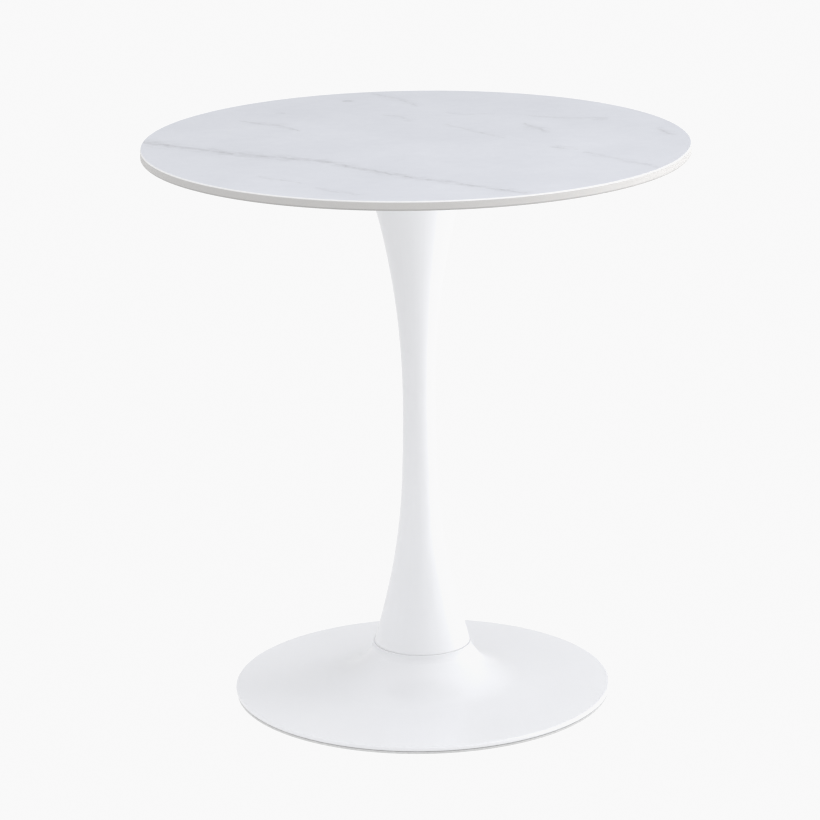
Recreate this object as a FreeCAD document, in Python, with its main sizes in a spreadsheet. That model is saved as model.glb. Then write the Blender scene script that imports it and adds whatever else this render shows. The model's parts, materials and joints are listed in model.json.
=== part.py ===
"""Round pedestal table: a stone slab on a waisted steel stem and a weighted, dished steel base.

Millimetres, +Z up, origin on the floor on the table's axis. One M12 rod on the axis clamps the mounting
plate, the stem and the base together, and six screws hold the slab to the mounting plate.
"""
import FreeCAD
import Part
import math
import os
import Sketcher

V = FreeCAD.Vector

# Driving dimensions. Radii and heights are in each piece's own frame, which starts at its lowest face.
DIMENSIONS = {
    "table_height": 736,
    # slab
    "slab_radius": 350,
    "slab_thickness": 12,
    "slab_top_round": 2,
    "slab_lower_bevel": 1.2,
    "slab_hole_depth": 8,
    # slab fixing: rubber sheet, steel plate, inserts and M6 screws
    "pad_radius": 148,
    "pad_bore_radius": 20,
    "pad_thickness": 1,
    "plate_radius": 150,
    "plate_thickness": 4,
    "slab_screw_circle_radius": 125,
    "slab_screw_count": 6,
    "slab_screw_radius": 2.95,
    "slab_screw_hole_radius": 3.3,
    "slab_screw_length": 12,
    "slab_screw_flange_radius": 6.8,
    "slab_screw_flange_edge": 1,
    "slab_screw_crown_radius": 3.7,
    "slab_screw_shoulder_radius": 5.4,
    "slab_screw_shoulder_height": 1.3,
    "slab_screw_head_height": 3.3,
    "slab_screw_socket": 4,
    "slab_screw_socket_depth": 2,
    "insert_radius": 4.5,
    "insert_bore_radius": 3,
    "insert_length": 7,
    "insert_glue_gap": 0.1,
    # clamping rod and what is on it
    "rod_radius": 5.95,
    "rod_thread_gap": 0.05,
    "rod_hole_radius": 6.6,
    "rod_bevel": 0.9,
    "rod_lower_end": 6,
    "rod_upper_end_below_pad": 1,
    "boss_radius": 14,
    "boss_length": 20,
    "boss_gap": 0.3,
    "nut_across_flats": 18,
    "jam_nut_height": 6,
    "rod_nut_height": 10.8,
    "rod_washer_radius": 18,
    "rod_washer_thickness": 2.5,
    "spring_washer_radius": 10.5,
    "spring_washer_thickness": 2.5,
    "spring_washer_slit": 1.5,
    "spring_washer_slit_reach": 12,
    # locating pins
    "dowel_radius": 3,
    "dowel_hole_gap": 0.05,
    "upper_dowel_circle_radius": 45,
    "upper_dowel_length": 7,
    "upper_dowel_below_pad": 0.5,
    "lower_dowel_circle_radius": 35,
    "lower_dowel_length": 17,
    "lower_dowel_depth": 12.5,
    # stem: straight cone at the foot, lower flare, waist, upper flare to the head
    "stem_wall": 2,
    "stem_foot_radius": 62.7,
    "stem_waist_radius": 21.4,
    "stem_waist_height": 333,
    "stem_flare_height": 226,
    "stem_waist_arc": 2580,
    "stem_lower_arc": 842,
    "stem_upper_arc": 1020,
    "head_disc_radius": 69.1,
    "head_disc_thickness": 4,
    "foot_disc_radius": 59.1,
    "foot_disc_thickness": 5,
    # seam between stem and base
    "gasket_thickness": 0.4,
    "gasket_radius": 62.4,
    # base shell: collar, neck, dish and hemmed rim; heights are above the floor
    "base_radius": 247.5,
    "base_wall": 2,
    "collar_radius": 65,
    "collar_height": 66,
    "collar_lip": 2.4,
    "collar_round": 0.8,
    "collar_arc": 16,
    "collar_arc_end": 55.5,
    "neck_arc": 82,
    "dish_arc": 700,
    "dish_slope": 1.5,
    "rim_height": 9.5,
    "rim_round": 2.7,
    "hem_height": 3.2,
    "hem_inner_radius": 236,
    "flange_bore_radius": 50,
    # cast weight inside the base; heights are above its own lower face
    "weight_radius": 232,
    "weight_edge_height": 2.4,
    "weight_middle_radius": 170,
    "weight_middle_height": 4.8,
    "weight_slope_radius": 122,
    "weight_slope_height": 8.5,
    "weight_shoulder_radius": 92,
    "weight_shoulder_height": 18,
    "weight_neck_radius": 73,
    "weight_neck_height": 34,
    "weight_boss_edge": 14,
    "boss_top_radius": 59,
    "spigot_height": 2.2,
    "spigot_gap": 0.3,
    "nut_pocket_radius": 22.5,
    "nut_pocket_depth": 20,
    # closing plate, its M4 screws, cap and floor ring
    "ring_radius": 246,
    "ring_inner_radius": 215,
    "ring_thickness": 1.2,
    "ring_lip_inner_radius": 243.4,
    "ring_lip_height": 2.8,
    "base_plate_radius": 243.2,
    "base_plate_bore_radius": 22,
    "base_screw_circle_radius": 100,
    "base_screw_count": 6,
    "base_screw_radius": 1.95,
    "base_screw_hole_radius": 2.2,
    "base_screw_head_radius": 3.6,
    "base_screw_head_height": 1.65,
    "base_screw_head_gap": 0.1,
    "base_screw_length": 10,
    "base_screw_socket": 2.5,
    "base_screw_socket_depth": 1.2,
    "cap_flange_radius": 25,
    "cap_flange_thickness": 0.9,
    "cap_plug_radius": 21.8,
    "cap_plug_height": 5.5,
    "cap_wall": 1.5,
}

DOC = FreeCAD.newDocument("round_pedestal_table")
SIZES = DOC.addObject("Spreadsheet::Sheet", "sizes")

# Levels above the floor, stacked up from the floor ring and down from the slab's upper face.
SLAB_BASE = "(sizes.table_height - sizes.slab_thickness)"
PAD_BASE = f"({SLAB_BASE} - sizes.pad_thickness)"
PLATE_BASE = f"({PAD_BASE} - sizes.plate_thickness)"
STEM_BASE = "(sizes.collar_height + sizes.gasket_thickness)"
STEM_LENGTH = f"({PLATE_BASE} - {STEM_BASE})"
WEIGHT_BASE = "sizes.hem_height"
WEIGHT_BOSS_HEIGHT = f"(sizes.collar_height - sizes.base_wall - {WEIGHT_BASE})"
WASHER_BASE = f"({WEIGHT_BASE} + sizes.nut_pocket_depth - sizes.rod_washer_thickness)"
SPRING_WASHER_BASE = f"({WASHER_BASE} - sizes.spring_washer_thickness)"
ROD_NUT_BASE = f"({SPRING_WASHER_BASE} - sizes.rod_nut_height)"
ROD_BORE_RADIUS = "(sizes.rod_radius + sizes.rod_thread_gap)"
DOWEL_HOLE_RADIUS = "(sizes.dowel_radius + sizes.dowel_hole_gap)"


# ---------------------------------------------------------------- helpers

def fill_sheet():
    """Write every driving dimension into the sheet, under its own name."""
    for row, (alias, number) in enumerate(DIMENSIONS.items(), 1):
        SIZES.set(f"A{row}", alias)
        SIZES.set(f"B{row}", str(number))
        SIZES.setAlias(f"B{row}", alias)
    DOC.recompute()


def value(expression):
    """The number that an expression of sheet cells stands for."""
    return float(SIZES.evalExpression(expression))


def point(corner):
    """A sketch point from a pair of expressions."""
    return V(value(corner[0]), value(corner[1]), 0)


def new_body(name, height="0"):
    """A body labelled for its file, standing at a height above the floor."""
    body = DOC.addObject("PartDesign::Body", name)
    body.Label = name
    body.setExpression("Placement.Base.z", height)
    return body


def origin_feature(body, role):
    """One of the body's own origin planes or axes."""
    return next(item for item in body.Origin.OriginFeatures if item.Role == role)


def new_sketch(body, name, role, lift="0"):
    """A sketch on one of the body's origin planes, lifted along the plane's normal."""
    sketch = body.newObject("Sketcher::SketchObject", name)
    sketch.AttachmentSupport = [(origin_feature(body, role), "")]
    sketch.MapMode = "FlatFace"
    sketch.setExpression("AttachmentOffset.Base.z", lift)
    return sketch


def measure(sketch, kind, *place, size):
    """Add a dimension to a sketch and bind it to an expression of sheet cells."""
    index = sketch.addConstraint(Sketcher.Constraint(kind, *place, value(size)))
    sketch.setExpression(f"Constraints[{index}]", size)


def pin(sketch, geometry, end, corner):
    """Hold one end of a line or an arc at a pair of expressions."""
    measure(sketch, "DistanceX", -1, 1, geometry, end, size=corner[0])
    measure(sketch, "DistanceY", -1, 1, geometry, end, size=corner[1])


def tie(sketch, first, first_end, second, second_end):
    """Join an end of one curve to an end of another."""
    sketch.addConstraint(Sketcher.Constraint("Coincident", first, first_end, second, second_end))


def smooth(sketch, first, first_end, second, second_end):
    """Join two ends so that the curves run into each other with no corner."""
    sketch.addConstraint(Sketcher.Constraint("Tangent", first, first_end, second, second_end))


def draw_polygon(sketch, corners):
    """Draw a closed polygon with every corner pinned."""
    points = [point(corner) for corner in corners]
    lines = [sketch.addGeometry(Part.LineSegment(points[index - 1], points[index]))
             for index in range(len(points))]
    for index, corner in enumerate(corners):
        tie(sketch, lines[index], 1, lines[index - 1], 2)
        pin(sketch, lines[index], 2, corner)


def draw_path(sketch, corners, from_curve, from_end, to_curve, to_end):
    """Draw lines through pinned corners, from the end of one curve to the end of another."""
    stops = [end_point(sketch, from_curve, from_end)]
    stops += [point(corner) for corner in corners]
    stops.append(end_point(sketch, to_curve, to_end))
    previous, previous_end = from_curve, from_end
    for index, (start, finish) in enumerate(zip(stops, stops[1:])):
        line = sketch.addGeometry(Part.LineSegment(start, finish))
        tie(sketch, previous, previous_end, line, 1)
        if index < len(corners):
            pin(sketch, line, 2, corners[index])
        previous, previous_end = line, 2
    tie(sketch, previous, 2, to_curve, to_end)


def end_point(sketch, curve, end):
    """Where the first (1) or second (2) end of a drawn curve is."""
    geometry = sketch.Geometry[curve]
    return geometry.StartPoint if end == 1 else geometry.EndPoint


def draw_arc(sketch, centre, radius, start, finish):
    """Draw an arc that runs anticlockwise from start to finish."""
    angles = [math.atan2(spot.y - centre.y, spot.x - centre.x) % math.tau for spot in (start, finish)]
    circle = Part.Circle(centre, V(0, 0, 1), value(radius))
    curve = sketch.addGeometry(Part.ArcOfCircle(circle, *angles))
    measure(sketch, "Radius", curve, size=radius)
    return curve


def leaving_point(centre, radius, target):
    """Where an anticlockwise run round a circle leaves it in a straight line for the target."""
    gap = target - centre
    angle = math.atan2(gap.y, gap.x) - math.acos(radius / gap.Length)
    return centre + V(math.cos(angle), math.sin(angle), 0) * radius


def blend_centre(centre, radius, next_radius, finish, slope):
    """Centre of the arc that touches a smaller arc and then leaves on a falling line to the finish."""
    along = V(math.cos(slope), -math.sin(slope), 0)
    across = V(math.sin(slope), math.cos(slope), 0)
    gap = finish + across * next_radius - centre
    reach = math.sqrt((next_radius - radius) ** 2 - gap.Length ** 2 + gap.dot(along) ** 2)
    return centre + gap + along * (reach - gap.dot(along))


def draw_flare(sketch, start, arcs, finish, slope=None):
    """Draw tangent arcs that fall away from a vertical start, then a straight run to the finish.

    arcs holds (arc radius, end height) pairs. The last arc has no end height: it ends where the straight run
    leaves it. Where the run's slope is given, neither has the arc before. Returns the first arc and the run.
    """
    here = point(start)
    target = point(finish)
    centre = here
    towards = V(1, 0, 0)
    curves = []
    for order, (radius, end_height) in enumerate(arcs):
        size = value(radius)
        centre = here + towards * size
        if end_height:
            drop = centre.y - value(end_height)
            there = V(centre.x - math.sqrt(size ** 2 - drop ** 2), centre.y - drop, 0)
        elif order + 1 < len(arcs):
            next_centre = blend_centre(centre, size, value(arcs[order + 1][0]), target,
                                       math.radians(value(slope)))
            there = centre + (centre - next_centre).normalize() * size
        else:
            there = leaving_point(centre, size, target)
        curves.append(draw_arc(sketch, centre, radius, here, there))
        if end_height:
            measure(sketch, "DistanceY", -1, 1, curves[-1], 2, size=end_height)
        here = there
        towards = (centre - here).normalize()
    curves.append(sketch.addGeometry(Part.LineSegment(here, target)))
    for previous, curve in zip(curves, curves[1:]):
        smooth(sketch, previous, 2, curve, 1)
    pin(sketch, curves[0], 1, start)
    measure(sketch, "DistanceY", -1, 1, curves[0], 3, size=start[1])
    pin(sketch, curves[-1], 2, finish)
    if slope:
        fall = sketch.addConstraint(Sketcher.Constraint("Angle", curves[-1], -math.radians(value(slope))))
        sketch.setExpression(f"Constraints[{fall}]", f"-{slope} * 1 deg")
    return curves[0], curves[-1]


def draw_hexagon(sketch, across_flats, offset="0"):
    """Draw a hexagon centred at an offset along X, two of its sides parallel to X."""
    reach = f"({across_flats}) / sqrt(3)"
    centre = V(value(offset), 0, 0)
    circle = sketch.addGeometry(Part.Circle(centre, V(0, 0, 1), value(reach)), True)
    corners = [centre + V(math.cos(turn), math.sin(turn), 0) * value(reach)
               for turn in (side * math.tau / 6 for side in range(6))]
    sides = [sketch.addGeometry(Part.LineSegment(corners[side - 1], corners[side])) for side in range(6)]
    measure(sketch, "Radius", circle, size=reach)
    pin(sketch, circle, 3, (offset, "0"))
    for side in range(6):
        tie(sketch, sides[side - 1], 2, sides[side], 1)
        sketch.addConstraint(Sketcher.Constraint("PointOnObject", sides[side], 1, circle))
    for side in range(1, 6):
        sketch.addConstraint(Sketcher.Constraint("Equal", sides[0], sides[side]))
    sketch.addConstraint(Sketcher.Constraint("Horizontal", sides[2]))


def column(radius, top, bottom="0"):
    """Half section of a cylinder."""
    return [("0", bottom), (radius, bottom), (radius, top), ("0", top)]


def tube(inner, outer, top):
    """Half section of a ring or tube that starts at height nought."""
    return [(inner, "0"), (outer, "0"), (outer, top), (inner, top)]


def turn(body, name, corners, offset=None, kind="PartDesign::Revolution"):
    """Revolve a polygon of (radius, height) corners about Z, or about a parallel axis offset along X."""
    sketch = new_sketch(body, f"{name}_profile", "XZ_Plane")
    if offset is None:
        draw_polygon(sketch, corners)
        return revolve(body, name, sketch, "V_Axis", kind)
    axis = sketch.addGeometry(Part.LineSegment(V(value(offset), 0, 0), V(value(offset), 1, 0)), True)
    pin(sketch, axis, 1, (offset, "0"))
    pin(sketch, axis, 2, (offset, "1"))
    draw_polygon(sketch, [(f"{offset} + {radius}", height) for radius, height in corners])
    return revolve(body, name, sketch, "Axis0", kind)


def revolve(body, name, sketch, axis, kind="PartDesign::Revolution"):
    """Turn a sketch once round one of its own axes, adding or cutting."""
    feature = body.newObject(kind, name)
    feature.Profile = sketch
    feature.ReferenceAxis = (sketch, [axis])
    feature.Angle = 360
    return feature


def bore(body, name, corners, offset=None):
    """Cut a turned hole."""
    return turn(body, name, corners, offset, "PartDesign::Groove")


def repeat(body, name, features, count):
    """Repeat features evenly round the body's Z axis."""
    pattern = body.newObject("PartDesign::PolarPattern", name)
    pattern.Originals = features
    pattern.Axis = (origin_feature(body, "Z_Axis"), [""])
    pattern.Angle = 360
    pattern.setExpression("Occurrences", count)
    body.Tip = pattern
    return pattern


def extrude(body, name, sketch, length, kind="PartDesign::Pad", backwards=False):
    """Pad or pocket a sketch by a length."""
    feature = body.newObject(kind, name)
    feature.Profile = sketch
    feature.setExpression("Length", length)
    feature.Reversed = backwards
    return feature


def circle_edges(feature, radius, height):
    """Names of the feature's full round edges of one radius at one height."""
    DOC.recompute()
    names = []
    for number, edge in enumerate(feature.Shape.Edges, 1):
        round_edge = isinstance(edge.Curve, Part.Circle)
        if round_edge and abs(edge.Curve.Radius - radius) < 0.01 and abs(edge.Curve.Center.z - height) < 0.01:
            names.append(f"Edge{number}")
    return names


def flat_faces(feature, height):
    """Names of the feature's level faces at one height."""
    DOC.recompute()
    return [f"Face{number}" for number, face in enumerate(feature.Shape.Faces, 1)
            if isinstance(face.Surface, Part.Plane) and abs(face.CenterOfMass.z - height) < 0.01
            and face.BoundBox.ZLength < 0.01]


def dress(body, name, base, edges, size, kind="PartDesign::Fillet"):
    """Round or bevel edges of a feature."""
    feature = body.newObject(kind, name)
    feature.Base = (base, edges)
    feature.setExpression("Radius" if kind.endswith("Fillet") else "Size", size)
    return feature


def hollow(body, name, base, open_heights, wall):
    """Leave only a wall of a solid, open at its level faces at the given heights."""
    feature = body.newObject("PartDesign::Thickness", name)
    feature.Base = (base, [face for height in open_heights for face in flat_faces(base, height)])
    feature.setExpression("Value", wall)
    feature.Reversed = True
    feature.Join = "Intersection"
    return feature


def ring(name, height, inner, outer, thickness):
    """A flat ring or tube."""
    body = new_body(name, height)
    turn(body, f"{name}_turned", tube(inner, outer, thickness))
    return body


def slab_screw_holes(body, thickness):
    """Clearance holes for the slab's screws."""
    hole = bore(body, "screw_hole", column("sizes.slab_screw_hole_radius", thickness),
                "sizes.slab_screw_circle_radius")
    repeat(body, "screw_holes", [hole], "sizes.slab_screw_count")


def dowel_holes(body, circle_radius, top, bottom="0"):
    """Two holes for locating pins, from bottom up to top."""
    hole = bore(body, "dowel_hole", column(DOWEL_HOLE_RADIUS, top, bottom), circle_radius)
    repeat(body, "dowel_holes", [hole], "2")


# ---------------------------------------------------------------- slab and its fixing

def tabletop_slab():
    """Round slab, rounded along its upper edge, bevelled along its lower one, with blind holes below."""
    body = new_body("tabletop_slab", SLAB_BASE)
    disc = turn(body, "slab_disc", column("sizes.slab_radius", "sizes.slab_thickness"))
    upper = circle_edges(disc, value("sizes.slab_radius"), value("sizes.slab_thickness"))
    rounded = dress(body, "slab_upper_round", disc, upper, "sizes.slab_top_round")
    lower = circle_edges(rounded, value("sizes.slab_radius"), 0)
    dress(body, "slab_lower_bevel", rounded, lower, "sizes.slab_lower_bevel", "PartDesign::Chamfer")
    hole_radius = "(sizes.insert_radius + sizes.insert_glue_gap)"
    hole = bore(body, "insert_hole", column(hole_radius, "sizes.slab_hole_depth"),
                "sizes.slab_screw_circle_radius")
    repeat(body, "insert_holes", [hole], "sizes.slab_screw_count")


def slab_inserts():
    """Threaded inserts bonded in the slab's blind holes, one body of separate pieces."""
    body = new_body("slab_inserts", SLAB_BASE)
    wall = tube("sizes.insert_bore_radius", "sizes.insert_radius", "sizes.insert_length")
    insert = turn(body, "insert", wall, "sizes.slab_screw_circle_radius")
    repeat(body, "insert_ring", [insert], "sizes.slab_screw_count")


def bedding_pad():
    """Thin rubber sheet that beds the slab on its plate."""
    body = ring("bedding_pad", PAD_BASE, "sizes.pad_bore_radius", "sizes.pad_radius", "sizes.pad_thickness")
    slab_screw_holes(body, "sizes.pad_thickness")


def mounting_plate():
    """Steel disc under the slab, open in the middle for the rod and drilled for screws and pins."""
    body = ring("mounting_plate", PLATE_BASE, "sizes.rod_hole_radius", "sizes.plate_radius",
                "sizes.plate_thickness")
    slab_screw_holes(body, "sizes.plate_thickness")
    dowel_holes(body, "sizes.upper_dowel_circle_radius", "sizes.plate_thickness")


def mounting_screws():
    """M6 button screws with flanged heads and hexagon sockets; their threads are left plain."""
    body = new_body("mounting_screws", PLATE_BASE)
    head = "sizes.slab_screw_head_height"
    screw = turn(body, "screw", [("0", f"-{head}"), ("sizes.slab_screw_crown_radius", f"-{head}"),
                                 ("sizes.slab_screw_shoulder_radius", "-sizes.slab_screw_shoulder_height"),
                                 ("sizes.slab_screw_flange_radius", "-sizes.slab_screw_flange_edge"),
                                 ("sizes.slab_screw_flange_radius", "0"), ("sizes.slab_screw_radius", "0"),
                                 ("sizes.slab_screw_radius", "sizes.slab_screw_length"),
                                 ("0", "sizes.slab_screw_length")], "sizes.slab_screw_circle_radius")
    outline = new_sketch(body, "socket_outline", "XY_Plane", f"-{head}")
    draw_hexagon(outline, "sizes.slab_screw_socket", "sizes.slab_screw_circle_radius")
    socket = extrude(body, "socket", outline, "sizes.slab_screw_socket_depth", "PartDesign::Pocket", True)
    repeat(body, "screw_ring", [screw, socket], "sizes.slab_screw_count")


# ---------------------------------------------------------------- clamping rod

def rod_boss():
    """Threaded boss welded under the mounting plate."""
    ring("rod_boss", f"{PLATE_BASE} - sizes.boss_length", ROD_BORE_RADIUS, "sizes.boss_radius",
         "sizes.boss_length")


def tie_rod():
    """M12 rod from the nut pocket up into the boss, with a bevel at both ends."""
    body = new_body("tie_rod", "sizes.rod_lower_end")
    length = f"({PAD_BASE} - sizes.rod_upper_end_below_pad - sizes.rod_lower_end)"
    end_radius = "sizes.rod_radius - sizes.rod_bevel"
    turn(body, "rod", [("0", "0"), (end_radius, "0"), ("sizes.rod_radius", "sizes.rod_bevel"),
                       ("sizes.rod_radius", f"{length} - sizes.rod_bevel"), (end_radius, length),
                       ("0", length)])


def nut(name, base, thickness):
    """Hexagon nut bored for the rod."""
    body = new_body(name, base)
    outline = new_sketch(body, "nut_outline", "XY_Plane")
    draw_hexagon(outline, "sizes.nut_across_flats")
    hole = outline.addGeometry(Part.Circle(V(0, 0, 0), V(0, 0, 1), value(ROD_BORE_RADIUS)))
    measure(outline, "Radius", hole, size=ROD_BORE_RADIUS)
    tie(outline, hole, 3, -1, 1)
    extrude(body, "nut_block", outline, thickness)


def spring_washer():
    """Split washer between the nut and the large washer."""
    body = ring("rod_spring_washer", SPRING_WASHER_BASE, "sizes.rod_hole_radius",
                "sizes.spring_washer_radius", "sizes.spring_washer_thickness")
    outline = new_sketch(body, "slit_outline", "XY_Plane")
    half = "sizes.spring_washer_slit / 2"
    draw_polygon(outline, [("0", f"-{half}"), ("sizes.spring_washer_slit_reach", f"-{half}"),
                           ("sizes.spring_washer_slit_reach", half), ("0", half)])
    extrude(body, "slit", outline, "sizes.spring_washer_thickness", "PartDesign::Pocket", True)


def dowels(name, base, circle_radius, length):
    """Two locating pins opposite each other."""
    body = new_body(name, base)
    dowel = turn(body, "dowel", column("sizes.dowel_radius", length), circle_radius)
    repeat(body, "dowel_pair", [dowel], "2")


# ---------------------------------------------------------------- stem

def stem_shell():
    """Spun stem: a straight cone at the foot, drawn in to a waist and flared again to the head."""
    body = new_body("stem_shell", STEM_BASE)
    sketch = new_sketch(body, "stem_profile", "XZ_Plane")
    waist, cone = draw_flare(sketch, ("sizes.stem_waist_radius", "sizes.stem_waist_height"),
                             [("sizes.stem_waist_arc", "sizes.stem_flare_height"),
                              ("sizes.stem_lower_arc", None)],
                             ("sizes.stem_foot_radius", "0"))
    size = value("sizes.stem_upper_arc")
    rise = value(f"{STEM_LENGTH} - sizes.stem_waist_height")
    centre = point(("sizes.stem_waist_radius + sizes.stem_upper_arc", "sizes.stem_waist_height"))
    head = centre + V(-math.sqrt(size ** 2 - rise ** 2), rise, 0)
    upper = draw_arc(sketch, centre, "sizes.stem_upper_arc", head, end_point(sketch, waist, 1))
    smooth(sketch, upper, 2, waist, 1)
    measure(sketch, "DistanceY", -1, 1, upper, 1, size=STEM_LENGTH)
    draw_path(sketch, [("0", "0"), ("0", STEM_LENGTH)], cone, 2, upper, 1)
    solid = revolve(body, "stem_solid", sketch, "V_Axis")
    hollow(body, "stem_wall", solid, [0, value(STEM_LENGTH)], "sizes.stem_wall")


def stem_head_disc():
    """Disc welded in the stem's head, open in the middle for the rod's boss."""
    body = ring("stem_head_disc", f"{PLATE_BASE} - sizes.head_disc_thickness",
                "sizes.boss_radius + sizes.boss_gap", "sizes.head_disc_radius", "sizes.head_disc_thickness")
    dowel_holes(body, "sizes.upper_dowel_circle_radius", "sizes.head_disc_thickness")


def stem_foot_disc():
    """Disc welded in the stem's foot, drilled for the rod and the lower pins."""
    body = ring("stem_foot_disc", STEM_BASE, "sizes.rod_hole_radius", "sizes.foot_disc_radius",
                "sizes.foot_disc_thickness")
    dowel_holes(body, "sizes.lower_dowel_circle_radius", "sizes.foot_disc_thickness")


def seam_gasket():
    """Thin ring between the stem's foot and the base's collar."""
    ring("seam_gasket", "sizes.collar_height", "sizes.flange_bore_radius", "sizes.gasket_radius",
         "sizes.gasket_thickness")


# ---------------------------------------------------------------- base

def base_shell():
    """Spun base: collar with an inner flange, concave neck, shallow dish and a hemmed, rounded rim."""
    body = new_body("base_shell")
    sketch = new_sketch(body, "base_profile", "XZ_Plane")
    collar, dish = draw_flare(sketch, ("sizes.collar_radius", "sizes.collar_height - sizes.collar_lip"),
                              [("sizes.collar_arc", "sizes.collar_arc_end"), ("sizes.neck_arc", None),
                               ("sizes.dish_arc", None)],
                              ("sizes.base_radius", "sizes.rim_height"), "sizes.dish_slope")
    draw_path(sketch, [("sizes.base_radius", "sizes.hem_height"), ("0", "sizes.hem_height"),
                       ("0", "sizes.collar_height"), ("sizes.collar_radius", "sizes.collar_height")],
              dish, 2, collar, 1)
    solid = revolve(body, "base_solid", sketch, "V_Axis")
    hollow(body, "base_wall", solid, [value("sizes.hem_height")], "sizes.base_wall")
    flange = "(sizes.collar_height - 2 * sizes.base_wall)"
    bore(body, "flange_bore", column("sizes.flange_bore_radius", "sizes.collar_height", flange))
    hem_top = "sizes.hem_height + sizes.base_wall"
    hem = turn(body, "hem", [("sizes.hem_inner_radius", "sizes.hem_height"),
                             ("sizes.base_radius", "sizes.hem_height"), ("sizes.base_radius", hem_top),
                             ("sizes.hem_inner_radius", hem_top)])
    rim = circle_edges(hem, value("sizes.base_radius"), value("sizes.rim_height"))
    rim += circle_edges(hem, value("sizes.base_radius"), value("sizes.hem_height"))
    rounded = dress(body, "rim_rounds", hem, rim, "sizes.rim_round")
    lip = circle_edges(rounded, value("sizes.collar_radius"), value("sizes.collar_height"))
    dress(body, "collar_round", rounded, lip, "sizes.collar_round")


def base_weight():
    """Cast weight that fills the base, with a boss under the flange and a pocket for the nut."""
    body = new_body("base_weight", WEIGHT_BASE)
    spigot = "(sizes.flange_bore_radius - sizes.spigot_gap)"
    spigot_top = f"({WEIGHT_BOSS_HEIGHT} + sizes.spigot_height)"
    turn(body, "casting", [("sizes.nut_pocket_radius", "0"), ("sizes.weight_radius", "0"),
                           ("sizes.weight_radius", "sizes.weight_edge_height"),
                           ("sizes.weight_middle_radius", "sizes.weight_middle_height"),
                           ("sizes.weight_slope_radius", "sizes.weight_slope_height"),
                           ("sizes.weight_shoulder_radius", "sizes.weight_shoulder_height"),
                           ("sizes.weight_neck_radius", "sizes.weight_neck_height"),
                           ("sizes.boss_top_radius", f"{WEIGHT_BOSS_HEIGHT} - sizes.weight_boss_edge"),
                           ("sizes.boss_top_radius", WEIGHT_BOSS_HEIGHT), (spigot, WEIGHT_BOSS_HEIGHT),
                           (spigot, spigot_top), ("sizes.rod_hole_radius", spigot_top),
                           ("sizes.rod_hole_radius", "sizes.nut_pocket_depth"),
                           ("sizes.nut_pocket_radius", "sizes.nut_pocket_depth")])
    pin_floor = f"({STEM_BASE} - {WEIGHT_BASE} - sizes.lower_dowel_depth)"
    dowel_holes(body, "sizes.lower_dowel_circle_radius", spigot_top, pin_floor)
    tapped = "(sizes.base_screw_radius + sizes.rod_thread_gap)"
    screw_hole = bore(body, "screw_hole", column(tapped, "sizes.base_screw_length"),
                      "sizes.base_screw_circle_radius")
    repeat(body, "screw_holes", [screw_hole], "sizes.base_screw_count")


def base_plate():
    """Steel sheet that closes the base, countersunk for its screws."""
    thickness = "(sizes.hem_height - sizes.ring_thickness)"
    body = ring("base_plate", "sizes.ring_thickness", "sizes.base_plate_bore_radius",
                "sizes.base_plate_radius", thickness)
    sink_radius = "sizes.base_screw_head_radius + sizes.base_screw_head_gap"
    sink_depth = "sizes.base_screw_head_height - sizes.base_screw_head_gap"
    hole = bore(body, "screw_hole", [("0", "0"), (sink_radius, "0"),
                                     ("sizes.base_screw_hole_radius", sink_depth),
                                     ("sizes.base_screw_hole_radius", thickness), ("0", thickness)],
                "sizes.base_screw_circle_radius")
    repeat(body, "screw_holes", [hole], "sizes.base_screw_count")


def base_plate_screws():
    """M4 countersunk screws with hexagon sockets; their threads are left plain."""
    body = new_body("base_plate_screws", "sizes.ring_thickness")
    screw = turn(body, "screw", [("0", "0"), ("sizes.base_screw_head_radius", "0"),
                                 ("sizes.base_screw_radius", "sizes.base_screw_head_height"),
                                 ("sizes.base_screw_radius", "sizes.base_screw_length"),
                                 ("0", "sizes.base_screw_length")], "sizes.base_screw_circle_radius")
    outline = new_sketch(body, "socket_outline", "XY_Plane")
    draw_hexagon(outline, "sizes.base_screw_socket", "sizes.base_screw_circle_radius")
    socket = extrude(body, "socket", outline, "sizes.base_screw_socket_depth", "PartDesign::Pocket", True)
    repeat(body, "screw_ring", [screw, socket], "sizes.base_screw_count")


def pocket_cap():
    """Plastic plug that snaps into the closing plate under the rod's nut."""
    body = new_body("pocket_cap", "sizes.ring_thickness - sizes.cap_flange_thickness")
    inner = "(sizes.cap_plug_radius - sizes.cap_wall)"
    turn(body, "cap", [("0", "0"), ("sizes.cap_flange_radius", "0"),
                       ("sizes.cap_flange_radius", "sizes.cap_flange_thickness"),
                       ("sizes.cap_plug_radius", "sizes.cap_flange_thickness"),
                       ("sizes.cap_plug_radius", "sizes.cap_plug_height"), (inner, "sizes.cap_plug_height"),
                       (inner, "sizes.cap_flange_thickness"), ("0", "sizes.cap_flange_thickness")])


def floor_ring():
    """Pale rubber ring that the table stands on, with a lip round the closing plate's edge."""
    body = new_body("floor_ring")
    turn(body, "ring_moulding", [("sizes.ring_inner_radius", "0"), ("sizes.ring_radius", "0"),
                                 ("sizes.ring_radius", "sizes.ring_lip_height"),
                                 ("sizes.ring_lip_inner_radius", "sizes.ring_lip_height"),
                                 ("sizes.ring_lip_inner_radius", "sizes.ring_thickness"),
                                 ("sizes.ring_inner_radius", "sizes.ring_thickness")])


# ---------------------------------------------------------------- assembly

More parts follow.
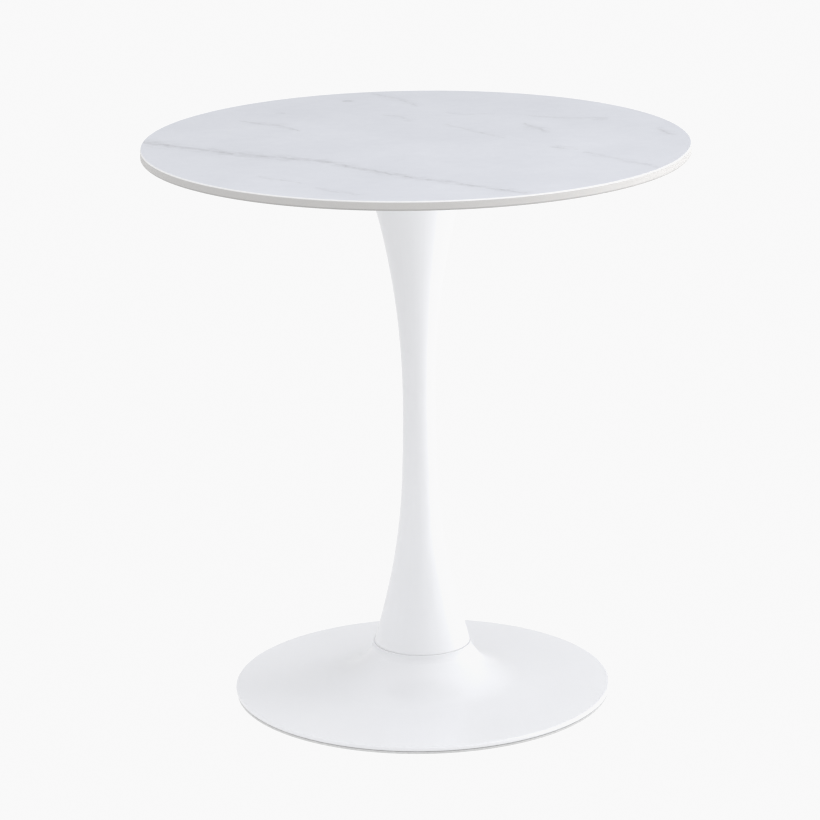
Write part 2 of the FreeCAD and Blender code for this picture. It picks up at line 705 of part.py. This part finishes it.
def build():
    """Make every piece of the table."""
    tabletop_slab()
    slab_inserts()
    bedding_pad()
    mounting_plate()
    mounting_screws()
    rod_boss()
    tie_rod()
    nut("jam_nut", f"{PLATE_BASE} - sizes.boss_length - sizes.jam_nut_height", "sizes.jam_nut_height")
    dowels("upper_dowels", f"{PAD_BASE} - sizes.upper_dowel_below_pad - sizes.upper_dowel_length",
           "sizes.upper_dowel_circle_radius", "sizes.upper_dowel_length")
    stem_shell()
    stem_head_disc()
    stem_foot_disc()
    seam_gasket()
    dowels("lower_dowels", f"{STEM_BASE} - sizes.lower_dowel_depth", "sizes.lower_dowel_circle_radius",
           "sizes.lower_dowel_length")
    base_shell()
    base_weight()
    ring("rod_washer", WASHER_BASE, "sizes.rod_hole_radius", "sizes.rod_washer_radius",
         "sizes.rod_washer_thickness")
    spring_washer()
    nut("rod_nut", ROD_NUT_BASE, "sizes.rod_nut_height")
    pocket_cap()
    base_plate()
    base_plate_screws()
    floor_ring()
    DOC.recompute()


def check():
    """Stop if a feature failed, a cut removed nothing or a piece isn't a valid solid."""
    failed = [item.Name for item in DOC.Objects if {"Invalid", "Error"} & set(item.State)]
    if failed:
        raise RuntimeError(f"failed features: {failed}")
    for sketch in DOC.findObjects("Sketcher::SketchObject"):
        if not sketch.FullyConstrained:
            raise RuntimeError(f"{sketch.Name} is not fully constrained")
    for kind in ("PartDesign::Groove", "PartDesign::Pocket", "PartDesign::Thickness"):
        for cut in DOC.findObjects(kind):
            if cut.Shape.Volume >= cut.BaseFeature.Shape.Volume:
                raise RuntimeError(f"{cut.Name} removes nothing")
    for body in DOC.findObjects("PartDesign::Body"):
        if body.Shape.isNull() or not body.Shape.isValid() or body.Shape.Volume <= 0:
            raise RuntimeError(f"{body.Label} has no valid solid")


def write():
    """Write each piece to its own file."""
    os.makedirs("parts", exist_ok=True)
    for body in DOC.findObjects("PartDesign::Body"):
        body.Shape.exportStep(f"parts/{body.Label}.step")
        print(f"{body.Label:20} {len(body.Shape.Solids)} solid(s), {body.Shape.Volume / 1000:.1f} cm3")


fill_sheet()
build()
check()
write()
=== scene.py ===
import json
import math

import bpy
from mathutils import Matrix, Vector


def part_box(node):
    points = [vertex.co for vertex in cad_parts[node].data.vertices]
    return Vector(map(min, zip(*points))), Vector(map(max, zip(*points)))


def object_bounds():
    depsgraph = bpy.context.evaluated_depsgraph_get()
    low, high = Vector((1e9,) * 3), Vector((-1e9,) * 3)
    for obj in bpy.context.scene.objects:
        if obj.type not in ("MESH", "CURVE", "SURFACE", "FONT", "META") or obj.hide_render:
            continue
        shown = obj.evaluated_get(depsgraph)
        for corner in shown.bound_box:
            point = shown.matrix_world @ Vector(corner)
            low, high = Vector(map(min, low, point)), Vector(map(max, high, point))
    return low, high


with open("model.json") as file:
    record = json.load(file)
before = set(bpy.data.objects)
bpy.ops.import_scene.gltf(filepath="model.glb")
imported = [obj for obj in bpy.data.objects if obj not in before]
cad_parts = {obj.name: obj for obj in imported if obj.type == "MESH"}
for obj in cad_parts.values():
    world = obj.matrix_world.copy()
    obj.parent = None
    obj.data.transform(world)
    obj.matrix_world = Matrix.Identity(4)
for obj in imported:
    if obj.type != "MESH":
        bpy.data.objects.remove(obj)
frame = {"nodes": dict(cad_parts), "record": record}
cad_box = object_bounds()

SLAB_LOW, SLAB_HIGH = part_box("tabletop_slab")
SLAB_RADIUS = SLAB_HIGH.x
# The slab's upper edge is rounded and its lower edge is bevelled, by that many metres.
TOP_ROUND = 0.002
LOWER_BEVEL = 0.0012


# Node helpers

class Graph:
    """One node tree, with a short call for each kind of node it is built from."""

    def __init__(self, tree):
        self.tree = tree

    def add(self, kind, inputs=None, **settings):
        """A new node. An input may be a number, a vector, a colour or another node's output."""
        node = self.tree.nodes.new(kind)
        for name, value in settings.items():
            setattr(node, name, value)
        for name, value in (inputs or {}).items():
            self.plug(node, name, value)
        return node

    def plug(self, node, name, value):
        socket = node.inputs[name]
        if isinstance(value, bpy.types.NodeSocket):
            self.tree.links.new(value, socket)
        else:
            socket.default_value = value

    def math(self, operation, first, second=0.0):
        node = self.add("ShaderNodeMath", {0: first, 1: second}, operation=operation)
        return node.outputs[0]

    def vector(self, operation, first, second=(0, 0, 0)):
        node = self.add("ShaderNodeVectorMath", {0: first, 1: second}, operation=operation)
        return node.outputs["Value" if operation in ("DOT_PRODUCT", "LENGTH") else "Vector"]

    def scaled(self, vector, factor):
        node = self.add("ShaderNodeVectorMath", {0: vector, "Scale": factor}, operation="SCALE")
        return node.outputs["Vector"]

    def split(self, vector):
        return self.add("ShaderNodeSeparateXYZ", {0: vector}).outputs

    def join(self, x, y, z):
        return self.add("ShaderNodeCombineXYZ", {0: x, 1: y, 2: z}).outputs[0]

    def noise(self, place, scale, detail=2.0, roughness=0.5):
        """Noise from 0 to 1, with scale as the number of features in a metre."""
        inputs = {"Vector": place, "Scale": scale, "Detail": detail, "Roughness": roughness}
        return self.add("ShaderNodeTexNoise", inputs).outputs

    def span(self, value, low, high, start=0.0, end=1.0, smooth=False):
        """value between low and high, carried over to start and end, and held there outside."""
        inputs = {"Value": value, "From Min": low, "From Max": high, "To Min": start, "To Max": end}
        kind = "SMOOTHSTEP" if smooth else "LINEAR"
        return self.add("ShaderNodeMapRange", inputs, interpolation_type=kind).outputs["Result"]

    def mix(self, factor, first, second):
        """A colour between first and second. The node's colour sockets are inputs 6 and 7 and output 2."""
        node = self.add("ShaderNodeMix", {0: factor, 6: first, 7: second}, data_type="RGBA")
        return node.outputs[2]

    def bump(self, height, distance, normal=None):
        """height from 0 to 1, raised by distance in metres."""
        node = self.add("ShaderNodeBump", {"Height": height, "Distance": distance, "Strength": 1.0})
        if normal is not None:
            self.plug(node, "Normal", normal)
        return node.outputs["Normal"]


class Finish(Graph):
    """A material: its shader, and the place on the object in metres."""

    def __init__(self, name, **settings):
        self.material = bpy.data.materials.new(name)
        self.material.use_nodes = True
        super().__init__(self.material.node_tree)
        self.shader = self.tree.nodes["Principled BSDF"]
        self.place = self.add("ShaderNodeTexCoord").outputs["Object"]
        for name, value in settings.items():
            self.plug(self.shader, name.replace("_", " "), value)

    def set(self, name, value):
        self.plug(self.shader, name, value)


def grey(level, warmth=0.0):
    """A grey of that linear level, a little red at positive warmth and a little blue at negative."""
    return (level * (1 + warmth), level, level * (1 - warmth), 1.0)


# Stone

# The veins are placed one by one. The main one runs from the left rim to the front edge. Each of its points
# is x and y on the slab in centimetres, then its half width there in millimetres.
MAIN_VEIN = [(-35, 2, 7), (-29, -2, 4), (-23, -6, 6), (-12, -11, 4), (-6, -17, 4), (1, -23, 3), (13, -31, 3)]
# Each short vein is its strength, its two ends and how far its middle bows to the back right, in centimetres,
# and the half width of the middle in millimetres.
SHORT_VEINS = [
    (0.8, (-23, 15), (-15, 8), 1, 4),
    (0.7, (-6, 33), (0, 24), 1, 4),
    (0.5, (-4, 18), (-1, 14), 1, 3),
    (0.6, (-19, -20), (-14, -24), 0, 3),
    (0.5, (-12, -27), (-7, -31), 0, 3),
    (0.4, (4, 19), (10, 18), -1, 3),
    (0.5, (4, 11), (11, 2), 0, 3),
    (0.8, (14, 11), (17, 5), 0, 5),
    (0.6, (15, 16), (25, 14), -1, 3),
    (0.8, (17, -4), (20, -6), 0, 4),
    (0.5, (21, -8), (31, -19), 0, 3),
    (0.7, (31, 7), (33, 2), 0, 3),
]
# The half width at the ends of a short vein, in millimetres.
VEIN_TIP = 1.5
# Soft grey smudges: strength, centre in centimetres and radius in millimetres.
SMUDGES = [(0.7, (-33, 2), 16), (0.5, (-18, 20), 9), (0.9, (-9, 28), 9), (0.4, (24, 13), 14)]


# Most veins run to the right and forwards, at this angle. Their strands reach this many widths from the core.
VEIN_TURN = math.radians(-35)
HALO_WIDTH = 2.8
# The strands' noise: features in a metre across the veins, and how much longer than wide they are.
STRAND_SCALE = 130
STRAND_STRETCH = 0.3


def vein_group():
    """A node group that darkens one straight stretch of a vein, narrowing or widening from start to end."""
    tree = bpy.data.node_groups.new("vein", "ShaderNodeTree")
    for name in ("Place", "Start", "End"):
        tree.interface.new_socket(name=name, in_out="INPUT", socket_type="NodeSocketVector")
    for name in ("Start Width", "End Width", "Strength"):
        tree.interface.new_socket(name=name, in_out="INPUT", socket_type="NodeSocketFloat")
    for name in ("Core", "Halo"):
        tree.interface.new_socket(name=name, in_out="OUTPUT", socket_type="NodeSocketFloat")
    g = Graph(tree)
    given = g.add("NodeGroupInput").outputs
    along = g.vector("SUBTRACT", given["End"], given["Start"])
    from_start = g.vector("SUBTRACT", given["Place"], given["Start"])
    covered = g.vector("DOT_PRODUCT", from_start, along)
    reach = g.math("DIVIDE", covered, g.vector("DOT_PRODUCT", along, along))
    reach = g.span(reach, 0.0, 1.0)
    off = g.vector("LENGTH", g.vector("SUBTRACT", from_start, g.scaled(along, reach)))
    width = g.span(reach, 0.0, 1.0, given["Start Width"], given["End Width"])
    shades = {}
    for name, wider, falloff in (("Core", 1.0, 1.5), ("Halo", HALO_WIDTH, 2.0)):
        spread = g.math("POWER", g.math("DIVIDE", off, g.math("MULTIPLY", width, wider)), falloff)
        shade = g.math("EXPONENT", g.math("MULTIPLY", spread, -1.0))
        shades[name] = g.math("MULTIPLY", shade, given["Strength"])
    g.add("NodeGroupOutput", shades)
    return tree


def darkest(f, shades):
    """The largest of the shades at each place."""
    total = shades[0]
    for shade in shades[1:]:
        total = f.math("MAXIMUM", total, shade)
    return total


def short_vein(start, end, bow, width):
    """The three points of a vein that is thin at both ends, with its middle off the straight by the bow."""
    start, end = Vector(start), Vector(end)
    along = end - start
    middle = (start + end) / 2 + Vector((-along.y, along.x)).normalized() * bow
    return [(start.x, start.y, VEIN_TIP), (middle.x, middle.y, width), (end.x, end.y, VEIN_TIP)]


def veins(f, place):
    """The darkest of all the vein cores and smudges at each place, and the darkest of their halos."""
    group = vein_group()
    cores = []
    halos = []
    shapes = [(1.0, MAIN_VEIN)] + [(strength, short_vein(*shape)) for strength, *shape in SHORT_VEINS]
    for strength, points in shapes:
        for (x0, y0, w0), (x1, y1, w1) in zip(points, points[1:]):
            inputs = {
                "Place": place,
                "Start": (x0 / 100, y0 / 100, 0),
                "End": (x1 / 100, y1 / 100, 0),
                "Start Width": w0 / 1000,
                "End Width": w1 / 1000,
                "Strength": strength,
            }
            stretch = f.add("ShaderNodeGroup", inputs, node_tree=group).outputs
            cores.append(stretch["Core"])
            halos.append(stretch["Halo"])
    for strength, (x, y), size in SMUDGES:
        off = f.vector("LENGTH", f.vector("SUBTRACT", place, (x / 100, y / 100, 0)))
        cores.append(f.span(off, 0.0, size / 1000, strength, 0.0, smooth=True))
    return darkest(f, cores), darkest(f, halos)


def strands(f, x, y):
    """Fine streaks along the veins, from 0 to 1."""
    cosine, sine = math.cos(VEIN_TURN), math.sin(VEIN_TURN)
    along = f.math("ADD", f.math("MULTIPLY", x, cosine), f.math("MULTIPLY", y, sine))
    across = f.math("SUBTRACT", f.math("MULTIPLY", y, cosine), f.math("MULTIPLY", x, sine))
    stretched = f.join(f.math("MULTIPLY", along, STRAND_STRETCH), across, 0.0)
    return f.span(f.noise(stretched, STRAND_SCALE, 3.0, 0.6)["Fac"], 0.43, 0.60)


# Noises that bend the veins: features in a metre, detail, and reach in metres.
VEIN_WANDERS = [(22, 4.0, 0.022), (140, 3.0, 0.012)]
# How dark the strands are beside the cores, and how far a core darkens the ground.
STRAND_STRENGTH = 0.55
VEIN_DEPTH = 0.56
STONE_DARKER = (0.582, 0.594, 0.632, 1.0)
STONE_LIGHTER = (0.621, 0.633, 0.670, 1.0)
STONE_VEIN = (0.27, 0.27, 0.285, 1.0)
# Painted light and shade: the face is made this much paler at the front right and darker at the back left,
# either way from the middle.
STONE_PAINTED_LIGHT_DRIFT = 0.045
# The unglazed body at the sides and below, and a pale line round the upper edge that is a painted highlight
# on the rounded arris.
BODY_DARKER = grey(0.48, 0.02)
BODY_LIGHTER = grey(0.53, 0.015)
ARRIS_PAINTED_HIGHLIGHT = grey(0.78)
# Painted shade: the body is this much darker on the lower bevel and across the underside.
BEVEL_PAINTED_SHADE = 0.72


def printed_face(f, x, y):
    """The marble print: a cloudy ground, with frayed veins that come and go along their length, and painted
    light that makes the ground paler towards the front right and darker towards the back left.
    """
    face = f.join(x, y, 0.0)
    wandering = face
    for scale, detail, reach in VEIN_WANDERS:
        drift = f.vector("SUBTRACT", f.noise(face, scale, detail, 0.6)["Color"], (0.5, 0.5, 0.5))
        wandering = f.vector("ADD", wandering, f.vector("MULTIPLY", drift, (reach, reach, 0.0)))
    broken = f.span(f.noise(face, 55, 3.0, 0.6)["Fac"], 0.36, 0.62, 0.2, 1.0)
    cores, halos = veins(f, wandering)
    fringe = f.math("MULTIPLY", f.math("MULTIPLY", halos, strands(f, x, y)), STRAND_STRENGTH)
    vein = f.math("MAXIMUM", f.math("MULTIPLY", cores, broken), fringe)
    cloud = f.span(f.noise(wandering, 7, 5.0, 0.55)["Fac"], 0.35, 0.7)
    pale = f.mix(cloud, STONE_DARKER, STONE_LIGHTER)
    # Painted light and shade: the ground is made paler towards the front right and darker towards the back
    # left.
    painted_light_slope = f.math("ADD", f.math("MULTIPLY", x, 0.45), f.math("MULTIPLY", y, -0.9))
    ground = f.scaled(pale, f.span(painted_light_slope, -SLAB_RADIUS, SLAB_RADIUS, 1.0 - STONE_PAINTED_LIGHT_DRIFT, 1.0 + STONE_PAINTED_LIGHT_DRIFT))
    return f.mix(f.math("MULTIPLY", vein, VEIN_DEPTH), ground, STONE_VEIN)


def sintered_stone():
    """A printed and glazed marble face over a plain warm grey body, with painted shade darkening the lower
    bevel and the underside, and a painted highlight along the rounded upper edge.
    """
    f = Finish("sintered_stone", IOR=1.5)
    x, y, z = f.split(f.place)
    top, low = SLAB_HIGH.z, SLAB_LOW.z
    grain = f.noise(f.place, 1400, 2.0, 0.6)["Fac"]
    body = f.mix(f.span(grain, 0.3, 0.7), BODY_DARKER, BODY_LIGHTER)
    # Painted shade: the body is darker on the lower bevel and the underside.
    bevel_shade = f.span(z, low + LOWER_BEVEL, low + LOWER_BEVEL * 2, BEVEL_PAINTED_SHADE, 1.0)
    # Painted highlight: a pale line on the rounded upper edge, just below the flat face.
    level = f.span(z, top - TOP_ROUND * 0.2, top - TOP_ROUND * 0.05)
    face_colour = f.mix(level, ARRIS_PAINTED_HIGHLIGHT, printed_face(f, x, y))
    glazed = f.span(z, top - TOP_ROUND, top - TOP_ROUND * 0.8)
    f.set("Base Color", f.mix(glazed, f.scaled(body, bevel_shade), face_colour))
    f.set("Roughness", f.span(f.noise(f.place, 60, 3.0, 0.6)["Fac"], 0.3, 0.7, 0.34, 0.42))
    f.set("Specular IOR Level", 0.3)
    f.set("Normal", f.bump(grain, 0.00002))
    return f.material


# Paint, metal, rubber and plastic

ENAMEL_DARKER = (0.787, 0.792, 0.810, 1.0)
ENAMEL_LIGHTER = (0.797, 0.802, 0.820, 1.0)


def white_enamel():
    """Satin white paint, a little cool, with a very faint unevenness."""
    f = Finish("white_enamel", IOR=1.5, Coat_Weight=0.2, Coat_Roughness=0.12)
    shift = f.span(f.noise(f.place, 9, 3.0)["Fac"], 0.3, 0.7)
    f.set("Base Color", f.mix(shift, ENAMEL_DARKER, ENAMEL_LIGHTER))
    f.set("Roughness", f.span(f.noise(f.place, 120, 3.0)["Fac"], 0.3, 0.7, 0.28, 0.36))
    f.set("Normal", f.bump(f.noise(f.place, 180, 2.0)["Fac"], 0.000004))
    return f.material


# How far a plain finish strays from its level and its roughness, either way.
SHADE_SPREAD = 0.08
GLOSS_SPREAD = 0.15


def plain(name, level, warmth, roughness, grain_scale, grain_depth, **settings):
    """A finish with a fine grain and slow changes of shade."""
    f = Finish(name, **settings)
    shift = f.span(f.noise(f.place, grain_scale / 8, 3.0)["Fac"], 0.3, 0.7)
    darker, lighter = level * (1 - SHADE_SPREAD), level * (1 + SHADE_SPREAD)
    f.set("Base Color", f.mix(shift, grey(darker, warmth), grey(lighter, warmth)))
    smoother, rougher = roughness * (1 - GLOSS_SPREAD), roughness * (1 + GLOSS_SPREAD)
    f.set("Roughness", f.span(f.noise(f.place, grain_scale / 4)["Fac"], 0.3, 0.7, smoother, rougher))
    f.set("Normal", f.bump(f.noise(f.place, grain_scale, 3.0)["Fac"], grain_depth))
    return f.material


MATERIALS = {
    "sintered_stone": sintered_stone(),
    "white_enamel": white_enamel(),
    "grey_enamel": plain("grey_enamel", 0.32, 0.0, 0.5, 900, 0.00003),
    "zinc_steel": plain("zinc_steel", 0.6, -0.01, 0.35, 1200, 0.00001, Metallic=1.0),
    "bare_steel": plain("bare_steel", 0.5, 0.0, 0.4, 1200, 0.00001, Metallic=1.0),
    "brass": plain("brass", 0.6, 0.25, 0.35, 1200, 0.00001, Metallic=1.0),
    "cast_iron": plain("cast_iron", 0.12, 0.0, 0.7, 500, 0.0002),
    "dark_rubber": plain("dark_rubber", 0.04, 0.0, 0.8, 1500, 0.00003),
    "grey_gasket": plain("grey_gasket", 0.55, 0.0, 0.7, 1500, 0.00003),
    "pale_rubber": plain("pale_rubber", 0.62, 0.0, 0.7, 1500, 0.00003),
    "dark_plastic": plain("dark_plastic", 0.05, 0.0, 0.5, 1500, 0.00003),
}


def paint_nodes():
    """Gives each CAD node the finish that the record names for it."""
    for part in frame["record"]["subparts"]:
        mesh = frame["nodes"][part["node"]].data
        mesh.materials.clear()
        mesh.materials.append(MATERIALS[part["material_slot"]])


# Surroundings

# The brightest tone of the picture, and how much of the light beyond it still shows.
PAPER_WHITE = 0.94
GLARE = 0.07
# The floor's own light, near the table, and in a painted pool of sunlight to the right of it that glows and
# lights the table.
FLOOR_LEVEL = 0.965
PAINTED_SUN_PATCH_GLOW = 2.8
FLOOR_RADIUS = 14.0
FLOOR_CORNERS = 96
# How far the floor lies below the table's lowest point.
FLOOR_GAP = 0.0005

# The room's light: its level all round, then a broad brighter patch for each direction.
ROOM_LEVEL = 0.64
PATCH_FALLOFF = 3.0
PATCHES = [
    ((-1, 0, 0.15), (0.33, 0.33, 0.33)),
    ((1, 0, 0.15), (0.20, 0.20, 0.20)),
    ((0.1, -0.7, 0.7), (0.26, 0.26, 0.26)),
    ((0, 0, 1), (0.97, 0.98, 1.02)),
]


def make_floor():
    """A pale round floor that is nearly all its own light, so that shadows on it stay faint, with a painted
    pool of sunlight on the right that glows brighter and lights the table.
    """
    turns = [2 * math.pi * i / FLOOR_CORNERS for i in range(FLOOR_CORNERS)]
    corners = [(FLOOR_RADIUS * math.cos(turn), FLOOR_RADIUS * math.sin(turn), 0.0) for turn in turns]
    mesh = bpy.data.meshes.new("floor")
    mesh.from_pydata(corners, [], [list(range(FLOOR_CORNERS))])
    floor = bpy.data.objects.new("floor", mesh)
    floor.location.z = cad_box[0].z - FLOOR_GAP
    bpy.context.scene.collection.objects.link(floor)
    f = Finish("floor", Roughness=0.9)
    f.set("Specular IOR Level", 0.0)
    shade = f.span(f.noise(f.place, 0.8)["Fac"], 0.3, 0.7)
    f.set("Base Color", f.mix(shade, grey(0.02), grey(0.03)))
    f.set("Emission Color", grey(1.0))
    ground = f.split(f.place)
    # Painted light: a pool of sunlight on the floor to the right, made as a glow that lights the table.
    rightwards = f.span(ground["X"], 0.8, 2.3, smooth=True)
    forwards = f.span(ground["Y"], 0.8, 2.3, 1.0, 0.0, smooth=True)
    painted_sun_patch = f.math("MULTIPLY", rightwards, forwards)
    f.set("Emission Strength", f.span(painted_sun_patch, 0.0, 1.0, FLOOR_LEVEL, PAINTED_SUN_PATCH_GLOW))
    mesh.materials.append(f.material)


def make_world():
    """Light from all round, with broad patches on the left, on the right, in front and above."""
    world = bpy.data.worlds.new("studio")
    world.use_nodes = True
    bpy.context.scene.world = world
    g = Graph(world.node_tree)
    direction = g.add("ShaderNodeTexCoord").outputs["Generated"]
    total = (ROOM_LEVEL, ROOM_LEVEL, ROOM_LEVEL)
    for towards, colour in PATCHES:
        facing = g.math("MAXIMUM", g.vector("DOT_PRODUCT", direction, Vector(towards).normalized()), 0.0)
        total = g.vector("ADD", g.scaled(colour, g.math("POWER", facing, PATCH_FALLOFF)), total)
    g.plug(world.node_tree.nodes["Background"], "Color", total)


def make_key():
    """One broad soft lamp on the right, at table height, that doesn't show in the paint."""
    side, lift, distance = math.radians(96), math.radians(8), 3.0
    target = Vector((0, 0, 0.45))
    ray = Vector((math.sin(side) * math.cos(lift), -math.cos(side) * math.cos(lift), math.sin(lift)))
    light = bpy.data.lights.new("key", "AREA")
    light.shape = "ELLIPSE"
    light.size = 2.4
    light.size_y = 1.6
    strength = 1.2
    light.energy = strength * math.pi * distance ** 2
    lamp = bpy.data.objects.new("key", light)
    lamp.visible_glossy = False
    lamp.location = target + ray * distance
    lamp.rotation_mode = "QUATERNION"
    lamp.rotation_quaternion = (-ray).to_track_quat("-Z", "Y")
    bpy.context.scene.collection.objects.link(lamp)


def limit_whites():
    """Little of the light beyond paper white still shows in the picture."""
    view = bpy.context.scene.view_settings
    view.view_transform = "Standard"
    view.use_curve_mapping = True
    every_channel = 3
    curve = view.curve_mapping.curves[every_channel]
    curve.points[1].location = (1.0, PAPER_WHITE + (1.0 - PAPER_WHITE) * GLARE)
    curve.points.new(PAPER_WHITE, PAPER_WHITE)
    for stop in curve.points:
        stop.handle_type = "VECTOR"
    view.curve_mapping.extend = "EXTRAPOLATED"
    view.curve_mapping.update()


def make_camera():
    """The photographer's place: 4.5 m away, at eye height, with a long lens."""
    distance, height = 4.448, 1.641
    pitch, yaw, roll = math.radians(15.81), math.radians(0.155), math.radians(-0.8)
    focal_pixels, picture = 3560, 820
    forward = Vector((-math.sin(yaw) * math.cos(pitch), math.cos(yaw) * math.cos(pitch), -math.sin(pitch)))
    right = Vector((math.cos(yaw), math.sin(yaw), 0))
    up = right.cross(forward)
    turned_right = right * math.cos(roll) + up * math.sin(roll)
    turned_up = up * math.cos(roll) - right * math.sin(roll)
    data = bpy.data.cameras.new("camera")
    data.sensor_width = 36
    data.lens = focal_pixels / picture * data.sensor_width
    data.clip_end = 100
    camera = bpy.data.objects.new("camera", data)
    turn = Matrix((turned_right, turned_up, -forward)).transposed().to_4x4()
    camera.matrix_world = Matrix.Translation((0, -distance, height)) @ turn
    bpy.context.scene.collection.objects.link(camera)
    bpy.context.scene.camera = camera


make_camera()
make_world()
make_floor()
make_key()
paint_nodes()
limit_whites()
